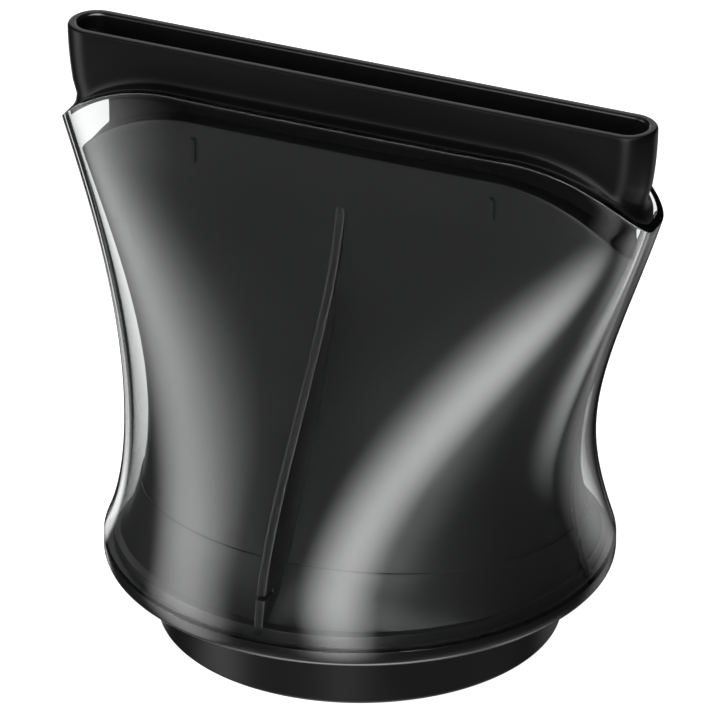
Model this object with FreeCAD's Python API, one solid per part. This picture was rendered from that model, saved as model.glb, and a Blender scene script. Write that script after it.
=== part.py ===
"""Concentrator nozzle for a hair dryer: a black air duct inside a clear, waisted shell.

Millimetres, +Z up. The nozzle stands on its collar, with the outlet slot on top along X.
"""
import math
import os

import FreeCAD
import Part

# Collar that pushes into the dryer, and the flange above it
collar_radius = 25.0
collar_height = 8.9
collar_wall = 1.8
collar_lead_in = 0.3
bore_stop = 0.8
flange_radius = 31.6
flange_thickness = 1.9
flange_round = 0.5
spigot_height = 1.4
spigot_clearance = 0.15
spigot_ledge = 0.35

# Clear shell: round at the flange, waisted, a flat oval with an arched rim at the top
shell_wall = 1.0
shell_tip_half_width = 39.3
shell_tip_height = 61.3
shell_side_base_lean = -0.44
shell_side_tip_lean = 0.29
shell_top_half_depth = 7.0
shell_flat_height = 60.3
oval_fullness = 3.3
rim_crest = 68.6
rim_bow_run = 17.3
rim_radius = 22.2
rim_round = 0.3

# Duct inside the shell
ring_height = 17.6
ring_step = 0.2
duct_ring_half_depth = 22.8
duct_ring_lean = -0.6
duct_wall = 1.6
face_gap = 0.6
side_gap_low = 1.2
side_gap_high = 0.2
side_gap_height = 56.0
shoulder_drop = 3.4
shoulder_bow_run = 20.0
shoulder_radius = 21.5

# Fins that centre the shell, each with a notch above its foot
fin_thickness = 1.2
fin_gap = 0.7
notch_height = 15.5
notch_gap = 0.5
notch_depth = 1.5

# Lugs on the broad faces
lug_inset = 19.6
lug_height = 61.4
lug_length = 3.3
lug_width = 0.8
lug_proud = 0.3

# Neck, lip and outlet bar above the shoulder
neck_inset = 6.3
neck_half_depth = 3.5
throat_step = 0.3
lip_gap = 0.2
lip_thickness = 0.8
outlet_height = 73.3
outlet_inset = 0.65
outlet_half_depth = 3.6
outlet_end_tuck = 1.6
outlet_wall = 1.3
outlet_round = 0.45
slot_chamfer = 0.35

# Sampling of the ovals and lofts
oval_count = 24
section_count = 8
passage_count = 10
flare_count = 6
bar_count = 5

# Heights and reaches that follow from the sizes above
flange_top = collar_height + flange_thickness
spigot_top = flange_top + spigot_height
flare_foot = spigot_top - spigot_height / 2
collar_bore = collar_radius - collar_wall
rim_arc_centre = rim_crest - rim_radius
rim_flat_half = shell_tip_half_width - rim_bow_run
shoulder_flat_half = shell_tip_half_width - shoulder_bow_run
lug_offset = shell_tip_half_width - lug_inset
neck_half_length = shell_tip_half_width - neck_inset
outlet_half_length = shell_tip_half_width - outlet_inset
slot_half_depth = outlet_half_depth - outlet_wall
neck_passage_half_length = neck_half_length - outlet_wall
lip_half_length = shell_tip_half_width - shell_wall - lip_gap
lip_half_depth = shell_top_half_depth - shell_wall - lip_gap
lip_end_height = rim_arc_centre + math.sqrt(rim_radius**2 - (lip_half_length - rim_flat_half) ** 2)
passage_top = rim_crest - shoulder_drop - duct_wall
margin = 2.0


def ease(z, low, high, start, end, start_lean, end_lean):
    """Cubic from start to end between two heights, with a lean (slope) at each end, straight beyond."""
    span = high - low
    if z <= low:
        return start + start_lean * (z - low)
    if z >= high:
        return end + end_lean * (z - high)
    t = (z - low) / span
    rise = t * t * (3.0 - 2.0 * t)
    lead = t * (1.0 - t) ** 2 * span * start_lean
    trail = t * t * (t - 1.0) * span * end_lean
    return start + (end - start) * rise + lead + trail


def fullness(z):
    """Exponent of the oval at a height: 2 is an ellipse, more is squarer."""
    t = min(max((z - flange_top) / (shell_flat_height - flange_top), 0.0), 1.0)
    return 2.0 + (oval_fullness - 2.0) * t * t


def shell_half_width(z):
    return ease(z, flange_top, shell_tip_height, flange_radius, shell_tip_half_width,
                shell_side_base_lean, shell_side_tip_lean)


def shell_half_depth(z):
    return ease(z, flange_top, shell_flat_height, flange_radius, shell_top_half_depth, 0.0, 0.0)


def spigot_radius():
    """The spigot clears the shell where the sides lean in at its top."""
    return shell_half_width(spigot_top) - shell_wall - spigot_clearance


def duct_half_width(z):
    """The duct's sides close up to the shell towards the top."""
    gap = ease(z, ring_height, side_gap_height, side_gap_low, side_gap_high, 0.0, 0.0)
    return shell_half_width(z) - shell_wall - gap


def duct_half_depth(z):
    top = shell_top_half_depth - shell_wall - face_gap
    return ease(z, ring_height, shell_flat_height, duct_ring_half_depth, top, duct_ring_lean, 0.0)


def passage_half_width(z):
    """Half-width of the air passage, from the stop in the collar to the neck."""
    if z < ring_height:
        ring_width = duct_half_width(ring_height) - duct_wall
        return ease(z, collar_height, ring_height, collar_bore - bore_stop, ring_width, 0.0, 0.0)
    return min(duct_half_width(z) - duct_wall, neck_passage_half_length)


def passage_half_depth(z):
    """Half-depth of the air passage, from the stop in the collar to the neck."""
    ring_depth = duct_ring_half_depth - duct_wall
    if z < ring_height:
        return ease(z, collar_height, ring_height, collar_bore - bore_stop, ring_depth, 0.0, duct_ring_lean)
    return ease(z, ring_height, passage_top, ring_depth, slot_half_depth + throat_step, duct_ring_lean, 0.0)


def oval(half_width, half_depth, exponent, z):
    """Closed superellipse wire at a height, starting at the back."""
    points = []
    for k in range(oval_count):
        angle = math.pi / 2 + 2.0 * math.pi * k / oval_count
        c = math.cos(angle)
        s = math.sin(angle)
        x = math.copysign(half_width * abs(c) ** (2.0 / exponent), c)
        y = math.copysign(half_depth * abs(s) ** (2.0 / exponent), s)
        points.append(FreeCAD.Vector(x, y, z))
    curve = Part.BSplineCurve()
    curve.interpolate(Points=points, PeriodicFlag=True, Parameters=[float(k) for k in range(oval_count + 1)])
    return Part.Wire(curve.toShape())


def stadium(half_length, half_depth, z):
    """Closed wire at a height: two straight sides joined by half circles."""
    straight = half_length - half_depth
    corners = [FreeCAD.Vector(sx * straight, sy * half_depth, z)
               for sx, sy in ((-1, -1), (1, -1), (1, 1), (-1, 1))]
    right_tip = FreeCAD.Vector(half_length, 0, z)
    left_tip = FreeCAD.Vector(-half_length, 0, z)
    edges = [
        Part.LineSegment(corners[0], corners[1]).toShape(),
        Part.Arc(corners[1], right_tip, corners[2]).toShape(),
        Part.LineSegment(corners[2], corners[3]).toShape(),
        Part.Arc(corners[3], left_tip, corners[0]).toShape(),
    ]
    return Part.Wire(edges)


def spread(low, high, count):
    """Evenly spaced heights, both ends included."""
    return [low + (high - low) * k / (count - 1) for k in range(count)]


def oval_loft(half_width, half_depth, heights, inset=0.0):
    """Solid through the ovals that two size functions give at each height."""
    wires = [oval(half_width(z) - inset, half_depth(z) - inset, fullness(z), z) for z in heights]
    return Part.makeLoft(wires, True, False)


def arch(crest, flat_half, radius):
    """Block under an arch: flat over the middle, a tangent arc down each side."""
    reach = flat_half + radius
    centre = crest - radius
    diagonal = radius * math.sqrt(0.5)
    low = -margin
    points = {
        "foot_left": FreeCAD.Vector(-reach, 0, low),
        "side_left": FreeCAD.Vector(-reach, 0, centre),
        "bow_left": FreeCAD.Vector(-flat_half - diagonal, 0, centre + diagonal),
        "crest_left": FreeCAD.Vector(-flat_half, 0, crest),
        "crest_right": FreeCAD.Vector(flat_half, 0, crest),
        "bow_right": FreeCAD.Vector(flat_half + diagonal, 0, centre + diagonal),
        "side_right": FreeCAD.Vector(reach, 0, centre),
        "foot_right": FreeCAD.Vector(reach, 0, low),
    }
    edges = [
        Part.LineSegment(points["foot_left"], points["side_left"]).toShape(),
        Part.Arc(points["side_left"], points["bow_left"], points["crest_left"]).toShape(),
        Part.LineSegment(points["crest_left"], points["crest_right"]).toShape(),
        Part.Arc(points["crest_right"], points["bow_right"], points["side_right"]).toShape(),
        Part.LineSegment(points["side_right"], points["foot_right"]).toShape(),
        Part.LineSegment(points["foot_right"], points["foot_left"]).toShape(),
    ]
    depth = flange_radius + margin
    block = Part.Face(Part.Wire(edges)).extrude(FreeCAD.Vector(0, 2.0 * depth, 0))
    block.translate(FreeCAD.Vector(0, -depth, 0))
    return block


def rim_arch(inset):
    """Block under the rim, or under a line that lies an inset inside it."""
    return arch(rim_crest - inset, rim_flat_half, rim_radius - inset)


def shoulder_arch():
    return arch(rim_crest - shoulder_drop, shoulder_flat_half, shoulder_radius)


def clear_shell():
    """One even wall between two lofts, cut to the arched rim, with the rim's edges rounded."""
    top = rim_crest + margin
    heights = spread(flange_top, top, section_count)
    outside = oval_loft(shell_half_width, shell_half_depth, heights)
    inside = oval_loft(shell_half_width, shell_half_depth, heights, shell_wall)
    wall = outside.cut(inside).common(rim_arch(0.0))
    rim_edges = [edge for edge in wall.Edges if edge.BoundBox.ZMin > shell_flat_height - margin]
    return wall.makeFillet(rim_round, rim_edges)


def collar_and_flange():
    """Revolved collar, flange and the spigot that the shell sits around."""
    rounded = flange_round * (1.0 - math.sqrt(0.5))
    outline = [
        (0.0, spigot_top),
        (0.0, 0.0),
        (collar_radius - collar_lead_in, 0.0),
        (collar_radius, collar_lead_in),
        (collar_radius, collar_height),
        (flange_radius - flange_round, collar_height),
        (flange_radius, collar_height + flange_round),
        (flange_radius, flange_top),
        (spigot_radius(), flange_top),
        (spigot_radius(), spigot_top),
    ]
    points = [FreeCAD.Vector(r, 0, z) for r, z in outline]
    bow = FreeCAD.Vector(flange_radius - rounded, 0, collar_height + rounded)
    edges = []
    for start, end in zip(points, points[1:] + points[:1]):
        rounded_edge = start.x < flange_radius and end.x == flange_radius
        edges.append((Part.Arc(start, bow, end) if rounded_edge else Part.LineSegment(start, end)).toShape())
    face = Part.Face(Part.Wire(edges))
    return face.revolve(FreeCAD.Vector(0, 0, 0), FreeCAD.Vector(0, 0, 1), 360)


def flare():
    """Cove that sweeps the duct out over the spigot, with a fine step at the ring."""
    wires = []
    foot_radius = spigot_radius() - spigot_ledge
    for z in spread(flare_foot, ring_height, flare_count):
        t = (ring_height - z) / (ring_height - flare_foot)
        width = duct_half_width(z) + ring_step
        depth = duct_half_depth(z) + ring_step
        width += (foot_radius - duct_half_width(flare_foot) - ring_step) * t * t
        depth += (foot_radius - duct_half_depth(flare_foot) - ring_step) * t * t
        wires.append(oval(width, depth, fullness(z), z))
    return Part.makeLoft(wires, True, False)


def duct_body():
    return oval_loft(duct_half_width, duct_half_depth, spread(ring_height - margin, rim_crest, section_count))


def fins():
    """Two crossed plates trimmed just inside the shell, with a notch above each foot."""
    reach = 2.0 * (shell_tip_half_width + margin)
    low = (flange_top + flare_foot) / 2
    plates = []
    for size_x, size_y in ((fin_thickness, reach), (reach, fin_thickness)):
        corner = FreeCAD.Vector(-size_x / 2, -size_y / 2, low)
        plates.append(Part.makeBox(size_x, size_y, rim_crest - low, corner))
    heights = spread(flange_top, rim_crest + margin, section_count)
    limit = oval_loft(shell_half_width, shell_half_depth, heights, shell_wall + fin_gap)
    crossed = plates[0].fuse(plates[1]).common(limit)
    notch_width = shell_half_width(notch_height) - shell_wall - fin_gap - notch_depth
    notch_core = Part.makeCylinder(notch_width, notch_gap, FreeCAD.Vector(0, 0, notch_height))
    notch_ring = Part.makeCylinder(flange_radius, notch_gap, FreeCAD.Vector(0, 0, notch_height))
    return crossed.cut(notch_ring.cut(notch_core))


def lugs():
    """Slim upright pads on the broad faces, two a side."""
    pads = []
    exponent = fullness(lug_height)
    off_centre = (lug_offset / duct_half_width(lug_height)) ** exponent
    reach = duct_half_depth(lug_height) * (1.0 - off_centre) ** (1.0 / exponent) + lug_proud
    straight = lug_length - lug_width
    for x in (-lug_offset, lug_offset):
        corner = FreeCAD.Vector(x - lug_width / 2, -reach, lug_height - straight / 2)
        pad = Part.makeBox(lug_width, 2.0 * reach, straight, corner)
        for end in (-straight / 2, straight / 2):
            centre = FreeCAD.Vector(x, -reach, lug_height + end)
            pad = pad.fuse(Part.makeCylinder(lug_width / 2, 2.0 * reach, centre, FreeCAD.Vector(0, 1, 0)))
        pads.append(pad)
    return pads


def lip():
    """Thin shelf that follows the rim's arch just inside it."""
    column = Part.Face(oval(lip_half_length, lip_half_depth, oval_fullness, lip_end_height - lip_thickness * 2))
    column = column.extrude(FreeCAD.Vector(0, 0, outlet_height))
    return column.common(rim_arch(0.0)).cut(rim_arch(lip_thickness))


def neck():
    low = shell_flat_height - margin * 3
    return Part.Face(oval(neck_half_length, neck_half_depth, oval_fullness, low)).extrude(
        FreeCAD.Vector(0, 0, rim_crest - low))


def outlet_bar():
    """Flat bar around the slot; its ends tuck in towards the lip and its top edge is rounded."""
    low = lip_end_height - lip_thickness
    wires = []
    for z in spread(low, outlet_height, bar_count):
        t = (outlet_height - z) / (outlet_height - low)
        wires.append(stadium(outlet_half_length - outlet_end_tuck * t * t, outlet_half_depth, z))
    bar = Part.makeLoft(wires, True, False).cut(rim_arch(lip_thickness / 2))
    top_edges = [edge for edge in bar.Edges if edge.BoundBox.ZMin > outlet_height - outlet_round]
    return bar.makeFillet(outlet_round, top_edges)


def passage():
    """Air path: the collar's bore up to its stop, the duct's inside, the neck and the flared slot."""
    bore = Part.makeCylinder(collar_bore, collar_height + margin, FreeCAD.Vector(0, 0, -margin))
    inside = oval_loft(passage_half_width, passage_half_depth,
                       spread(collar_height - margin, passage_top, passage_count))
    slot_half_length = outlet_half_length - outlet_wall
    mouth = margin + slot_chamfer
    sections = (
        (passage_top - margin, neck_passage_half_length, slot_half_depth),
        (rim_crest - margin, neck_passage_half_length, slot_half_depth),
        (outlet_height - margin, slot_half_length, slot_half_depth),
        (outlet_height - slot_chamfer, slot_half_length, slot_half_depth),
        (outlet_height + margin, slot_half_length + mouth, slot_half_depth + mouth),
    )
    slot = Part.makeLoft([stadium(length, depth, z) for z, length, depth in sections], True, True)
    return bore.fuse([inside, slot])


def air_duct():
    """Collar, flange, duct, fins, lip and outlet, moulded as one piece around the air path."""
    body = flare().fuse([duct_body(), fins()]).common(shoulder_arch())
    body = body.fuse(lugs())
    whole = collar_and_flange().fuse([body, neck(), lip(), outlet_bar()])
    return whole.cut(passage())


os.makedirs("parts", exist_ok=True)
for name, shape in (("air_duct", air_duct()), ("clear_shell", clear_shell())):
    print(name, "valid", shape.isValid(), "solids", len(shape.Solids), "volume", round(shape.Volume, 1))
    shape.exportStep("parts/" + name + ".step")
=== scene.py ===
import math

import bmesh
import bpy
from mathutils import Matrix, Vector


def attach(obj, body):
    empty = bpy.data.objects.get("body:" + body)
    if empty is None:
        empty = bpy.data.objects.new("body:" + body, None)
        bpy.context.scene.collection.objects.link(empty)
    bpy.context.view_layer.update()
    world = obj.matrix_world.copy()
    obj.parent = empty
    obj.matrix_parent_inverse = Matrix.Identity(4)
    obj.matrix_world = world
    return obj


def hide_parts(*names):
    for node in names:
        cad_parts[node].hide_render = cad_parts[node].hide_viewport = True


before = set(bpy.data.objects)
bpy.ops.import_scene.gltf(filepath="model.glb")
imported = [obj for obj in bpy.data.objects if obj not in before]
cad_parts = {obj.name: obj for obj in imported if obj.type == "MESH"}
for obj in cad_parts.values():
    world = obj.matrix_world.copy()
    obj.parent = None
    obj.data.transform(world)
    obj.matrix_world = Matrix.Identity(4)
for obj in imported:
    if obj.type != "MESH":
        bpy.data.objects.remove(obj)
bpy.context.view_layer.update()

MM = 0.001

# Sizes of the nozzle, in millimetres
collar_radius = 25.0
collar_height = 8.9
collar_bore = 23.2
collar_lead_in = 0.3
bore_stop = 0.8
flange_radius = 31.6
flange_top = 10.8
flange_round = 0.5
spigot_top = 12.2
spigot_clearance = 0.15
spigot_ledge = 0.35
flare_foot = 11.5
shell_wall = 1.0
shell_tip_half_width = 39.3
shell_tip_height = 61.3
shell_side_base_lean = -0.44
shell_side_tip_lean = 0.29
shell_top_half_depth = 7.0
shell_flat_height = 60.3
oval_fullness = 3.3
rim_crest = 68.6
rim_flat_half = 22.0
rim_radius = 22.2
rim_round = 0.12
ring_height = 17.6
ring_step = 0.2
duct_ring_half_depth = 22.8
duct_ring_lean = -0.6
duct_wall = 1.6
face_gap = 0.6
side_gap_low = 0.35
side_gap_high = 0.2
side_gap_height = 56.0
shoulder_crest = 65.2
shoulder_flat_half = 19.3
shoulder_radius = 21.5
fin_thickness = 1.2
fin_gap = 0.7
fin_side_gap = 0.15
fin_root = 0.6
fin_least = 0.05
fin_side_top = 40.0
notch_height = 15.5
notch_gap = 0.5
notch_depth = 1.5
lug_offset = 19.7
lug_height = 61.4
lug_length = 3.3
lug_width = 0.8
lug_proud = 0.3
lug_root = 0.8
neck_half_length = 33.0
neck_half_depth = 3.5
lip_half_length = 37.95
lip_half_depth = 5.8
lip_thickness = 0.8
cove_share = 0.45
cove_height = 0.9
outlet_height = 73.3
outlet_half_length = 38.65
outlet_half_depth = 3.6
outlet_end_tuck = 1.6
outlet_wall = 1.3
outlet_round = 0.45
slot_chamfer = 0.35
slot_straight = 2.0
throat_drop = 2.0
throat_step = 0.3
edge_round = 0.12

# Places of the duct's materials; the third, a darker and duller black, is painted shade for the recesses
# under the lip and inside the slot
SATIN, OUTER, SHADE_PAINTED, POLISHED = 0, 1, 2, 3

# Mesh fineness: points round a ring, then rings or points along each stretch
around = 224
wall_steps = 56
flare_steps = 14
cove_steps = 7
bar_steps = 12
bar_cove_steps = 3
passage_steps = 40
round_steps = 6
flange_steps = 7
fin_steps = 40
fin_foot_steps = 6
lug_end_steps = 9
ring_bevel_segments = 3
plate_bevel_segments = 2
round_first_turn = math.radians(15)
quarter_turn = math.pi / 2
smooth_angle = math.radians(32)
corner_angle = 0.6
meet_tries = 40


def ease(z, low, high, start, end, start_lean, end_lean):
    """Cubic from start to end between two heights, with a lean at each end, straight beyond."""
    span = high - low
    if z <= low:
        return start + start_lean * (z - low)
    if z >= high:
        return end + end_lean * (z - high)
    t = (z - low) / span
    rise = t * t * (3.0 - 2.0 * t)
    lead = t * (1.0 - t) ** 2 * span * start_lean
    trail = t * t * (t - 1.0) * span * end_lean
    return start + (end - start) * rise + lead + trail


def fullness(z):
    """Exponent of the oval at a height: 2 for a circle, more for a flat oval."""
    t = min(max((z - flange_top) / (shell_flat_height - flange_top), 0.0), 1.0)
    return 2.0 + (oval_fullness - 2.0) * t * t


def shell_half_width(z):
    return ease(z, flange_top, shell_tip_height, flange_radius, shell_tip_half_width,
                shell_side_base_lean, shell_side_tip_lean)


def shell_half_depth(z):
    return ease(z, flange_top, shell_flat_height, flange_radius, shell_top_half_depth, 0.0, 0.0)


def duct_half_width(z):
    gap = ease(z, ring_height, side_gap_height, side_gap_low, side_gap_high, 0.0, 0.0)
    return shell_half_width(z) - shell_wall - gap


def duct_half_depth(z):
    top = shell_top_half_depth - shell_wall - face_gap
    return ease(z, ring_height, shell_flat_height, duct_ring_half_depth, top, duct_ring_lean, 0.0)


spigot_radius = shell_half_width(spigot_top) - shell_wall - spigot_clearance
neck_passage_half_length = neck_half_length - outlet_wall
slot_half_depth = outlet_half_depth - outlet_wall
slot_half_length = outlet_half_length - outlet_wall
passage_top = shoulder_crest - duct_wall


def flare_size(z):
    """Half-width and half-depth of the cove between the spigot and the ring."""
    t = (ring_height - z) / (ring_height - flare_foot)
    foot = spigot_radius - spigot_ledge
    width = duct_half_width(z) + ring_step + (foot - duct_half_width(flare_foot) - ring_step) * t * t
    depth = duct_half_depth(z) + ring_step + (foot - duct_half_depth(flare_foot) - ring_step) * t * t
    return width, depth


def passage_size(z):
    """Half-width and half-depth of the air passage."""
    ring_width = duct_half_width(ring_height) - duct_wall
    ring_depth = duct_ring_half_depth - duct_wall
    stop = collar_bore - bore_stop
    if z < ring_height:
        return (ease(z, collar_height, ring_height, stop, ring_width, 0.0, 0.0),
                ease(z, collar_height, ring_height, stop, ring_depth, 0.0, duct_ring_lean))
    return (min(duct_half_width(z) - duct_wall, neck_passage_half_length),
            ease(z, ring_height, passage_top, ring_depth, slot_half_depth + throat_step, duct_ring_lean, 0.0))


def arch(x, crest, flat_half, radius):
    """Height of an arch at a place along the slot: flat over the middle, an arc down each side."""
    past = max(abs(x) - flat_half, 0.0)
    return crest - radius + math.sqrt(max(radius * radius - past * past, 0.0))


def rim(x, inset=0.0):
    return arch(x, rim_crest - inset, rim_flat_half, rim_radius - inset)


def shoulder(x):
    return arch(x, shoulder_crest, shoulder_flat_half, shoulder_radius)


def oval_at(angle, half_width, half_depth, exponent):
    """Point of an oval between a circle and a box."""
    c = math.cos(angle)
    s = math.sin(angle)
    power = 2.0 / exponent
    return math.copysign(half_width * abs(c) ** power, c), math.copysign(half_depth * abs(s) ** power, s)


def stadium_at(angle, half_length, half_depth):
    """Point of a slot with straight sides and round ends."""
    x = oval_at(angle, half_length, half_depth, oval_fullness)[0]
    past = max(abs(x) - half_length + half_depth, 0.0) / half_depth
    return x, math.copysign(half_depth * math.sqrt(max(1.0 - past * past, 0.0)), math.sin(angle))


def spread(low, high, count):
    """Evenly spaced values, both ends among them."""
    return [low + (high - low) * k / (count - 1) for k in range(count)]


angles = [2.0 * math.pi * k / around for k in range(around)]


def ring_of(place):
    """Closed ring of points, one for each angle."""
    return [Vector(place(a)) * MM for a in angles]


def level(half_width, half_depth, z, exponent=2.0):
    return ring_of(lambda a: (*oval_at(a, half_width, half_depth, exponent), z))


def meet(angle, size, inset, top):
    """Height at which a wall meets its arched top, at one angle."""
    z = rim_crest
    for _ in range(meet_tries):
        width, depth = size(z)
        x = oval_at(angle, width - inset, depth - inset, fullness(z))[0]
        z = 0.5 * z + 0.5 * top(x)
    return z


def wall_rings(size, inset, top, low, shares, lower_by=0.0):
    """Rings up a wall, from a height to its arched top, at shares of the way."""
    tops = [meet(a, size, inset, top) - lower_by for a in angles]
    rings = []
    for share in shares:
        points = []
        for a, height in zip(angles, tops):
            z = low + (height - low) * share
            width, depth = size(z)
            x, y = oval_at(a, width - inset, depth - inset, fullness(z))
            points.append(Vector((x, y, z)) * MM)
        rings.append(points)
    return rings


def loft(bm, rings, rounds, paint):
    """Closed skin through the rings and back to the first.

    Rounds gives the rings whose edge is rounded, and paint the material of the skin above each ring.
    """
    loops = [[bm.verts.new(point) for point in points] for points in rings]
    for first, second, material in zip(loops, loops[1:] + loops[:1], paint):
        for corners in zip(first, first[1:] + first[:1], second[1:] + second[:1], second):
            bm.faces.new(corners).material_index = material
    edges = {}
    for k in rounds:
        edges[k] = [bm.edges.get(pair) for pair in zip(loops[k], loops[k][1:] + loops[k][:1])]
    for k, radius in rounds.items():
        bmesh.ops.bevel(bm, geom=edges[k], offset=radius * MM, segments=ring_bevel_segments, profile=0.5,
                        affect="EDGES", material=-1, clamp_overlap=True)


def finish_piece(name, bm, materials, node):
    """Turn a skin into the piece that stands in for a node."""
    bmesh.ops.recalc_face_normals(bm, faces=bm.faces)
    mesh = bpy.data.meshes.new(name)
    bm.to_mesh(mesh)
    bm.free()
    for material in materials:
        mesh.materials.append(material)
    for polygon in mesh.polygons:
        polygon.use_smooth = True
    mesh.set_sharp_from_angle(angle=smooth_angle)
    piece = bpy.data.objects.new(name, mesh)
    bpy.context.scene.collection.objects.link(piece)
    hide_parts(node)
    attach(piece, "root")


def shell_size(z):
    return shell_half_width(z), shell_half_depth(z)


def duct_size(z):
    return duct_half_width(z), duct_half_depth(z)


def clear_shell(materials):
    """Waisted wall, up the outside, over the rim's round edge and down the inside."""
    bm = bmesh.new()
    shares = spread(0.0, 1.0, wall_steps)
    turns = spread(round_first_turn, quarter_turn, round_steps)
    rings = wall_rings(shell_size, 0.0, rim, flange_top, shares, rim_round)
    for turn in turns:
        inset = rim_round * (1.0 - math.cos(turn))
        rings += wall_rings(shell_size, inset, rim, flange_top, [1.0], rim_round * (1.0 - math.sin(turn)))
    for turn in turns[::-1]:
        inset = shell_wall - rim_round * (1.0 - math.cos(turn))
        rings += wall_rings(shell_size, inset, rim, flange_top, [1.0], rim_round * (1.0 - math.sin(turn)))
    rings += wall_rings(shell_size, shell_wall, rim, flange_top, shares[::-1], rim_round)
    loft(bm, rings, {}, [0] * len(rings))
    finish_piece("shell", bm, materials, "clear_shell")


def duct_skin(bm):
    """Duct from the collar's lower rim up the outside to the slot, and down the inside."""
    rings = []
    rounds = {}
    paint = []
    zone = OUTER

    def add(points, radius=0.0):
        """Add a ring, with the present zone for the skin above it."""
        if radius:
            rounds[len(rings)] = radius
        rings.append(points)
        paint.append(zone)

    def disc(radius, z, rounded=0.0):
        add(level(radius, radius, z), rounded)

    disc(collar_bore, 0.0, edge_round)
    disc(collar_radius - collar_lead_in, 0.0, edge_round)
    disc(collar_radius, collar_lead_in, edge_round)
    disc(collar_radius, collar_lead_in + 2 * edge_round)
    disc(collar_radius, collar_height - 2 * edge_round)
    disc(collar_radius, collar_height, edge_round)
    zone = POLISHED
    for turn in spread(0.0, quarter_turn, flange_steps):
        disc(flange_radius - flange_round + flange_round * math.sin(turn),
             collar_height + flange_round - flange_round * math.cos(turn))
    zone = SATIN
    disc(flange_radius, flange_top, edge_round / 2)
    disc(spigot_radius, flange_top, edge_round / 2)
    disc(spigot_radius, spigot_top, edge_round)
    for z in spread(spigot_top, ring_height, flare_steps):
        add(level(*flare_size(z), z, fullness(z)), edge_round / 2 if z in (spigot_top, ring_height) else 0.0)
    body = wall_rings(duct_size, 0.0, shoulder, ring_height, spread(0.0, 1.0, wall_steps))
    add(body[0], edge_round / 2)
    for points in body[1:-1]:
        add(points)
    # The shoulder top, the neck and the lip's underside take the darker black painted as the shade under the
    # lip
    zone = SHADE_PAINTED
    add(body[-1], edge_round * 2)
    for half_length, half_depth, top, zone in (
        (neck_half_length, neck_half_depth, shoulder, SHADE_PAINTED),
        (neck_half_length, neck_half_depth, lambda x: rim(x, lip_thickness), SHADE_PAINTED),
        (lip_half_length, lip_half_depth, lambda x: rim(x, lip_thickness), SHADE_PAINTED),
        (lip_half_length, lip_half_depth, rim, OUTER),
    ):
        flat = [oval_at(a, half_length, half_depth, oval_fullness) for a in angles]
        add([Vector((x, y, top(x))) * MM for x, y in flat], edge_round)
    low = rim(lip_half_length) - lip_thickness

    def bar_at(a, share):
        """Point of the outlet bar's side, at a share of its height."""
        x, y = stadium_at(a, outlet_half_length - outlet_end_tuck, outlet_half_depth)
        z = rim(x) + (outlet_height - outlet_round - rim(x)) * share
        t = (outlet_height - z) / (outlet_height - low)
        x, y = stadium_at(a, outlet_half_length - outlet_end_tuck * t * t, outlet_half_depth)
        return x, y, z

    def cove_at(a, turn):
        """Point of the cove from the lip's top to the bar's side."""
        x, y, z = bar_at(a, 0.0)
        lip_x, lip_y = oval_at(a, lip_half_length, lip_half_depth, oval_fullness)
        out = cove_share * (1.0 - math.sin(turn))
        foot = Vector((x, y, z)).lerp(Vector((lip_x, lip_y, rim(lip_x))), out)
        return foot + Vector((0, 0, cove_height * (1.0 - math.cos(turn))))

    for turn in spread(0.0, quarter_turn, cove_steps):
        add(ring_of(lambda a: cove_at(a, turn)))
    for share in spread(0.0, 1.0, bar_steps)[bar_cove_steps:]:
        add(ring_of(lambda a: bar_at(a, share)))
    for turn in spread(round_first_turn, quarter_turn, round_steps):
        inset = outlet_round * (1.0 - math.cos(turn))
        z = outlet_height - outlet_round * (1.0 - math.sin(turn))
        add(ring_of(lambda a: (*stadium_at(a, outlet_half_length - inset, outlet_half_depth - inset), z)))
    # The slot's inside takes the darker black painted as its shade; its top chamfer is the glossier black
    for half_length, half_depth, z, rounded, zone in (
        (slot_half_length + slot_chamfer, slot_half_depth + slot_chamfer, outlet_height,
         edge_round, POLISHED),
        (slot_half_length, slot_half_depth, outlet_height - slot_chamfer, edge_round, SHADE_PAINTED),
        (slot_half_length, slot_half_depth, outlet_height - slot_straight, 0.0, SHADE_PAINTED),
        (neck_passage_half_length, slot_half_depth, rim_crest - throat_drop, 0.0, SHADE_PAINTED),
        (neck_passage_half_length, slot_half_depth, passage_top, edge_round, SHADE_PAINTED),
    ):
        add(ring_of(lambda a: (*stadium_at(a, half_length, half_depth), z)), rounded)
    for z in spread(passage_top, collar_height, passage_steps):
        add(level(*passage_size(z), z, fullness(z)), edge_round if z == passage_top else 0.0)
    disc(collar_bore, collar_height, edge_round)
    loft(bm, rings, rounds, paint)


def plate(bm, outline, thickness, across):
    """Upright flat plate with an outline of (reach, height) points, reaching out along one direction."""
    side = Vector((-across.y, across.x, 0.0))
    near = side * (-thickness / 2)
    verts = [bm.verts.new((across * r + near + Vector((0, 0, z))) * MM) for r, z in outline]
    face = bm.faces.new(verts)
    grown = bmesh.ops.extrude_face_region(bm, geom=[face])["geom"]
    moved = [item for item in grown if isinstance(item, bmesh.types.BMVert)]
    bmesh.ops.translate(bm, verts=moved, vec=side * thickness * MM)
    edges = dict.fromkeys(edge for vert in verts + moved for edge in vert.link_edges)
    long_edges = [edge for edge in edges if len(edge.link_faces) == 2
                  and edge.link_faces[0].normal.angle(edge.link_faces[1].normal, 0.0) > corner_angle]
    bmesh.ops.bevel(bm, geom=long_edges, offset=edge_round * MM, segments=plate_bevel_segments, profile=0.5,
                    affect="EDGES", material=-1, clamp_overlap=True)


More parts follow.
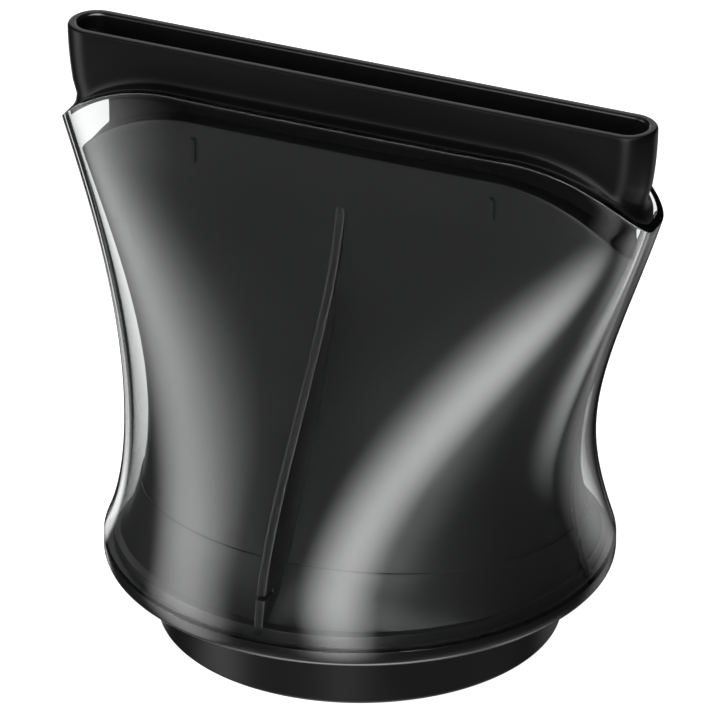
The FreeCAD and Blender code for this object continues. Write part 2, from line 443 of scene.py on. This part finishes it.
def fin_outline(reach, root, top):
    """Outline of a fin with a notch above its foot, between its root in the wall and its reach."""
    low = (flange_top + flare_foot) / 2
    notch_reach = shell_half_width(notch_height) - shell_wall - fin_gap - notch_depth
    outer = [(reach(z), z) for z in spread(low, notch_height, fin_foot_steps)]
    outer += [(notch_reach, notch_height), (notch_reach, notch_height + notch_gap)]
    outer += [(reach(z), z) for z in spread(notch_height + notch_gap, top, fin_steps)]
    inner = [(min(root(z), reach(z) - fin_least), z) for z in spread(top, ring_height, fin_steps)]
    inner += [(root(ring_height) + fin_root, low)]
    return outer + inner


def lug(bm, x, facing):
    """Slim pad with round ends, upright on a broad face."""
    exponent = fullness(lug_height)
    off_centre = (lug_offset / duct_half_width(lug_height)) ** exponent
    face_y = duct_half_depth(lug_height) * (1.0 - off_centre) ** (1.0 / exponent)
    straight = (lug_length - lug_width) / 2
    turns = spread(0.0, math.pi, lug_end_steps)
    outline = [(math.cos(t), math.sin(t), straight) for t in turns]
    outline += [(-math.cos(t), -math.sin(t), -straight) for t in turns]
    verts = [bm.verts.new(Vector((x + c * lug_width / 2, facing * (face_y + lug_proud),
                                  lug_height + lift + s * lug_width / 2)) * MM) for c, s, lift in outline]
    pad = bm.faces.new(verts)
    grown = bmesh.ops.extrude_face_region(bm, geom=[pad])["geom"]
    moved = [item for item in grown if isinstance(item, bmesh.types.BMVert)]
    bmesh.ops.translate(bm, verts=moved, vec=Vector((0, -facing * lug_root * MM, 0)))


def air_duct(materials):
    """Duct with its four fins and its lugs."""
    bm = bmesh.new()
    duct_skin(bm)
    bmesh.ops.recalc_face_normals(bm, faces=bm.faces)
    fin_inset = shell_wall + fin_gap
    front = fin_outline(lambda z: shell_half_depth(z) - fin_inset,
                        lambda z: duct_half_depth(z) - fin_root,
                        shell_flat_height)
    side_inset = shell_wall + fin_side_gap
    side = fin_outline(lambda z: shell_half_width(z) - side_inset,
                       lambda z: duct_half_width(z) - fin_root,
                       fin_side_top)
    for across, outline in ((Vector((0, -1, 0)), front), (Vector((0, 1, 0)), front),
                            (Vector((1, 0, 0)), side), (Vector((-1, 0, 0)), side)):
        plate(bm, outline, fin_thickness, across)
    for x in (-lug_offset, lug_offset):
        for facing in (-1, 1):
            lug(bm, x, facing)
    finish_piece("duct", bm, materials, "air_duct")


def new_material(name):
    material = bpy.data.materials.new(name)
    material.use_nodes = True
    return material, material.node_tree.nodes, material.node_tree.links


def grain_group():
    """Fine moulded grain: a mask for the finish and a normal."""
    group = bpy.data.node_groups.new("moulded_grain", "ShaderNodeTree")
    group.interface.new_socket("Scale", in_out="INPUT", socket_type="NodeSocketFloat")
    group.interface.new_socket("Depth", in_out="INPUT", socket_type="NodeSocketFloat")
    group.interface.new_socket("Mask", in_out="OUTPUT", socket_type="NodeSocketFloat")
    group.interface.new_socket("Normal", in_out="OUTPUT", socket_type="NodeSocketVector")
    nodes, links = group.nodes, group.links
    came = nodes.new("NodeGroupInput")
    gone = nodes.new("NodeGroupOutput")
    place = nodes.new("ShaderNodeTexCoord")
    fine = nodes.new("ShaderNodeTexNoise")
    fine.inputs["Detail"].default_value = 2.0
    fine.inputs["Roughness"].default_value = 0.55
    broad = nodes.new("ShaderNodeTexNoise")
    broad.inputs["Scale"].default_value = 90.0
    broad.inputs["Detail"].default_value = 3.0
    bump = nodes.new("ShaderNodeBump")
    bump.inputs["Distance"].default_value = 0.00002
    links.new(place.outputs["Object"], fine.inputs["Vector"])
    links.new(place.outputs["Object"], broad.inputs["Vector"])
    links.new(came.outputs["Scale"], fine.inputs["Scale"])
    links.new(came.outputs["Depth"], bump.inputs["Strength"])
    links.new(fine.outputs["Fac"], bump.inputs["Height"])
    links.new(broad.outputs["Fac"], gone.inputs["Mask"])
    links.new(bump.outputs["Normal"], gone.inputs["Normal"])
    return group


def ranged(nodes, links, source, low, high):
    """A value that runs from low to high as the source goes from 0.3 to 0.7."""
    span = nodes.new("ShaderNodeMapRange")
    span.inputs["From Min"].default_value = 0.3
    span.inputs["From Max"].default_value = 0.7
    span.inputs["To Min"].default_value = low
    span.inputs["To Max"].default_value = high
    links.new(source, span.inputs["Value"])
    return span.outputs["Result"]


def black_plastic(name, grain, rough_low, rough_high, colour, shine):
    material, nodes, links = new_material(name)
    surface = nodes["Principled BSDF"]
    surface.inputs["Base Color"].default_value = (*colour, 1.0)
    surface.inputs["Specular IOR Level"].default_value = shine
    effect = nodes.new("ShaderNodeGroup")
    effect.node_tree = grain
    effect.inputs["Scale"].default_value = 2600.0
    effect.inputs["Depth"].default_value = 0.25
    roughness = ranged(nodes, links, effect.outputs["Mask"], rough_low, rough_high)
    links.new(roughness, surface.inputs["Roughness"])
    links.new(effect.outputs["Normal"], surface.inputs["Normal"])
    return material


def clear_plastic(grain):
    material, nodes, links = new_material("clear_plastic")
    surface = nodes["Principled BSDF"]
    surface.inputs["Base Color"].default_value = (0.97, 0.98, 0.98, 1.0)
    surface.inputs["IOR"].default_value = 1.49
    surface.inputs["Transmission Weight"].default_value = 1.0
    effect = nodes.new("ShaderNodeGroup")
    effect.node_tree = grain
    effect.inputs["Scale"].default_value = 150.0
    effect.inputs["Depth"].default_value = 0.05
    links.new(ranged(nodes, links, effect.outputs["Mask"], 0.008, 0.025), surface.inputs["Roughness"])
    links.new(effect.outputs["Normal"], surface.inputs["Normal"])
    through = nodes.new("ShaderNodeBsdfTransparent")
    path = nodes.new("ShaderNodeLightPath")
    mix = nodes.new("ShaderNodeMixShader")
    links.new(path.outputs["Is Shadow Ray"], mix.inputs["Fac"])
    links.new(surface.outputs["BSDF"], mix.inputs[1])
    links.new(through.outputs["BSDF"], mix.inputs[2])
    links.new(mix.outputs["Shader"], nodes["Material Output"].inputs["Surface"])
    return material


grain = grain_group()
satin_black = black_plastic("satin_black", grain, 0.33, 0.39, (0.005, 0.005, 0.0053), 0.56)
outer_black = black_plastic("outer_black", grain, 0.30, 0.36, (0.003, 0.003, 0.0033), 0.25)
# Darker, duller black that paints the shade falling on the neck under the lip, the shoulder top and inside
# the slot
shade_painted_black = black_plastic("shade_painted_black", grain, 0.60, 0.70, (0.003, 0.003, 0.003), 0.1)
polished_black = black_plastic("polished_black", grain, 0.16, 0.20, (0.006, 0.006, 0.0064), 1.0)
clear_shell([clear_plastic(grain)])
air_duct([satin_black, outer_black, shade_painted_black, polished_black])

# Camera, from a fit to the photo: degrees, metres, and millimetres for the lens
camera_azimuth = 24.0
camera_elevation = 27.6
camera_distance = 1.266
camera_lens = 517.8
camera_sensor = 36.0
camera_reach = 20.0
target = Vector((0.0, 0.0, 0.03423))


def direction(azimuth, elevation):
    """Unit vector towards a place round the object, seen from its middle."""
    a = math.radians(azimuth)
    e = math.radians(elevation)
    return Vector((math.sin(a) * math.cos(e), -math.cos(a) * math.cos(e), math.sin(e)))


camera = bpy.data.objects.new("camera", bpy.data.cameras.new("camera"))
camera.data.lens = camera_lens
camera.data.sensor_width = camera_sensor
camera.data.clip_end = camera_reach
camera.location = target + direction(camera_azimuth, camera_elevation) * camera_distance
camera.rotation_mode = "QUATERNION"
camera.rotation_quaternion = (target - camera.location).to_track_quat("-Z", "Y")
bpy.context.scene.collection.objects.link(camera)
bpy.context.scene.camera = camera


def flat_sheet(name, size):
    """Square mesh in the XY plane, reaching a size each way."""
    bm = bmesh.new()
    bmesh.ops.create_grid(bm, x_segments=1, y_segments=1, size=size)
    mesh = bpy.data.meshes.new(name)
    bm.to_mesh(mesh)
    bm.free()
    return mesh


def math_node(nodes, links, operation, first, second=None):
    """A sum with plain numbers or other nodes' values."""
    node = nodes.new("ShaderNodeMath")
    node.operation = operation
    for socket, value in zip(node.inputs, (first, second)):
        if isinstance(value, float):
            socket.default_value = value
        elif value is not None:
            links.new(value, socket)
    return node.outputs["Value"]


def step_node(nodes, links, value, low, high, start=0.0, end=1.0):
    """Smooth step from start to end as a value goes from low to high."""
    node = nodes.new("ShaderNodeMapRange")
    node.interpolation_type = "SMOOTHSTEP"
    node.inputs["From Min"].default_value = low
    node.inputs["From Max"].default_value = high
    node.inputs["To Min"].default_value = start
    node.inputs["To Max"].default_value = end
    links.new(value, node.inputs["Value"])
    return node.outputs["Result"]


def softbox(name, azimuth, elevation, distance, width, height, strength):
    """Soft light that fades to its edges, turned to the object; azimuth counts from the camera's."""
    mesh = flat_sheet(name, 1.0)
    material, nodes, links = new_material(name)
    nodes.remove(nodes["Principled BSDF"])
    place = nodes.new("ShaderNodeTexCoord")
    parts = nodes.new("ShaderNodeSeparateXYZ")
    links.new(place.outputs["Object"], parts.inputs["Vector"])
    fades = []
    for axis in ("X", "Y"):
        off_centre = math_node(nodes, links, "ABSOLUTE", parts.outputs[axis])
        fades.append(step_node(nodes, links, off_centre, 0.0, 1.0, 1.0, 0.0))
    fade = math_node(nodes, links, "MULTIPLY", *fades)
    glow = nodes.new("ShaderNodeEmission")
    links.new(math_node(nodes, links, "MULTIPLY", fade, strength), glow.inputs["Strength"])
    links.new(glow.outputs["Emission"], nodes["Material Output"].inputs["Surface"])
    mesh.materials.append(material)
    box = bpy.data.objects.new(name, mesh)
    towards = direction(camera_azimuth + azimuth, elevation)
    box.location = target + towards * distance
    box.rotation_mode = "QUATERNION"
    box.rotation_quaternion = towards.to_track_quat("Z", "Y")
    box.scale = (width / 2, height / 2, 1.0)
    box.visible_camera = False
    bpy.context.scene.collection.objects.link(box)


softbox("front_light", azimuth=-8.5, elevation=14.0, distance=0.8, width=0.62, height=2.4, strength=4.7)
softbox("left_light", azimuth=-82.0, elevation=-2.0, distance=0.8, width=0.85, height=2.4, strength=2.8)
softbox("right_light", azimuth=75.0, elevation=-52.0, distance=0.8, width=1.2, height=0.7, strength=2.0)
softbox("low_light", azimuth=-5.0, elevation=-66.0, distance=0.6, width=1.4, height=0.7, strength=4.2)
softbox("back_light", azimuth=136.0, elevation=-20.0, distance=0.8, width=0.7, height=1.0, strength=0.5)
softbox("top_light", azimuth=0.0, elevation=62.0, distance=0.8, width=1.6, height=0.3, strength=6.0)

# Floor, in metres, a hair below the collar
floor_reach = 3.0
floor_height = -0.0002


def pale_floor():
    """White to the camera, matt grey to what bounces, and clear from below."""
    mesh = flat_sheet("floor", floor_reach)
    material, nodes, links = new_material("floor")
    nodes.remove(nodes["Principled BSDF"])
    matt = nodes.new("ShaderNodeBsdfDiffuse")
    matt.inputs["Color"].default_value = (0.6, 0.6, 0.6, 1.0)
    glow = nodes.new("ShaderNodeEmission")
    path = nodes.new("ShaderNodeLightPath")
    links.new(path.outputs["Is Camera Ray"], glow.inputs["Strength"])
    both = nodes.new("ShaderNodeAddShader")
    links.new(matt.outputs["BSDF"], both.inputs[0])
    links.new(glow.outputs["Emission"], both.inputs[1])
    below = nodes.new("ShaderNodeBsdfTransparent")
    facing = nodes.new("ShaderNodeNewGeometry")
    sided = nodes.new("ShaderNodeMixShader")
    links.new(facing.outputs["Backfacing"], sided.inputs["Fac"])
    links.new(both.outputs["Shader"], sided.inputs[1])
    links.new(below.outputs["BSDF"], sided.inputs[2])
    links.new(sided.outputs["Shader"], nodes["Material Output"].inputs["Surface"])
    mesh.materials.append(material)
    floor = bpy.data.objects.new("floor", mesh)
    floor.location = (0.0, 0.0, floor_height)
    floor.visible_glossy = False
    floor.visible_transmission = False
    floor.visible_shadow = False
    bpy.context.scene.collection.objects.link(floor)


pale_floor()

# Surroundings: cosines at the edges of the white screen behind the object and of the dark card in its middle
screen_outer = 0.866
screen_inner = 0.914
card_outer = 0.955
card_inner = 0.975
dim_level = 0.02


def studio():
    """White for what is seen straight or through the shell; for what is reflected, dim but for the screen."""
    world = bpy.data.worlds.new("studio")
    bpy.context.scene.world = world
    world.use_nodes = True
    nodes, links = world.node_tree.nodes, world.node_tree.links

    def vector_node(operation, first, second):
        node = nodes.new("ShaderNodeVectorMath")
        node.operation = operation
        links.new(first, node.inputs[0])
        node.inputs[1].default_value = second
        return node

    ray = nodes.new("ShaderNodeTexCoord").outputs["Generated"]
    level_ray = vector_node("MULTIPLY", ray, (1.0, 1.0, 0.0)).outputs["Vector"]
    flat_ray = vector_node("NORMALIZE", level_ray, (0.0, 0.0, 0.0)).outputs["Vector"]
    away = vector_node("DOT_PRODUCT", flat_ray, -direction(camera_azimuth, 0.0))
    through = vector_node("DOT_PRODUCT", ray, -direction(camera_azimuth, camera_elevation))
    screen = step_node(nodes, links, away.outputs["Value"], screen_outer, screen_inner)
    card = step_node(nodes, links, through.outputs["Value"], card_outer, card_inner)
    behind = math_node(nodes, links, "MULTIPLY", screen, math_node(nodes, links, "SUBTRACT", 1.0, card))
    path = nodes.new("ShaderNodeLightPath")
    bounced = math_node(nodes, links, "ADD", path.outputs["Glossy Depth"], path.outputs["Diffuse Depth"])
    unbounced = math_node(nodes, links, "LESS_THAN", bounced, 0.5)
    seen_through = math_node(nodes, links, "MULTIPLY", path.outputs["Is Transmission Ray"], unbounced)
    seen = math_node(nodes, links, "MAXIMUM", path.outputs["Is Camera Ray"], seen_through)
    bright = math_node(nodes, links, "MAXIMUM", seen, behind)
    raised = math_node(nodes, links, "MULTIPLY", bright, 1.0 - dim_level)
    backdrop = nodes["Background"]
    backdrop.inputs["Color"].default_value = (1.0, 1.0, 1.0, 1.0)
    links.new(math_node(nodes, links, "ADD", dim_level, raised), backdrop.inputs["Strength"])


studio()
bpy.context.scene.view_settings.view_transform = "Standard"
